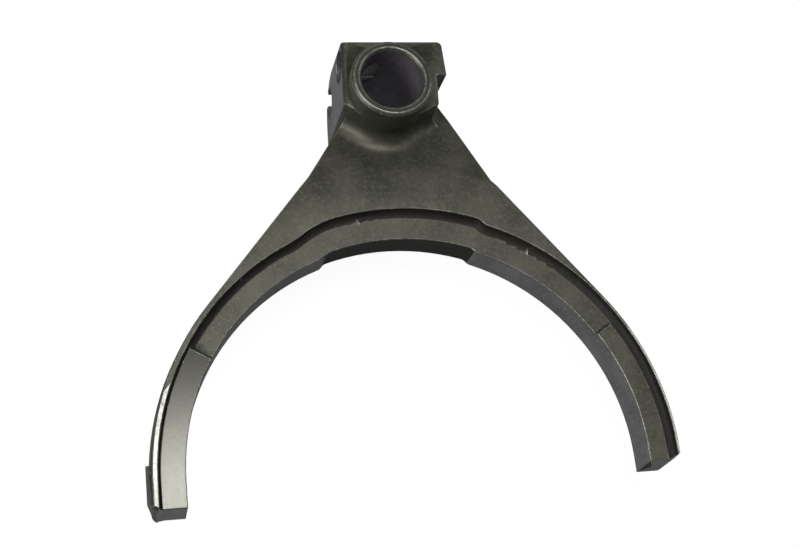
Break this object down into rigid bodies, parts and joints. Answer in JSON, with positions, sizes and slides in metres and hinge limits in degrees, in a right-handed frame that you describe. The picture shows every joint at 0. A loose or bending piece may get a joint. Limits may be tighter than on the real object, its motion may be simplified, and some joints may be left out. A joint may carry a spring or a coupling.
{
  "type": "clutch fork",
  "caption": "Cast half-round gearbox clutch fork with a stepped throat, wear pads at its tips and a bored hub that clamps to a sliding rail.",
  "frame": {"origin": "on the rail axis, in the plane of the hub's back face", "axes": "+Z along the rail axis towards the collar, +Y from the fork towards the hub's flat top, +X towards the ear"},
  "size_m": [0.1648, 0.148, 0.0418],
  "materials": {
    "cast_body": "satin as-cast skin, machined bright at the pads and the collar"
  },
  "bodies": {
    "root": {"clutch_fork": "cast_body"}
  },
  "joints": []
}
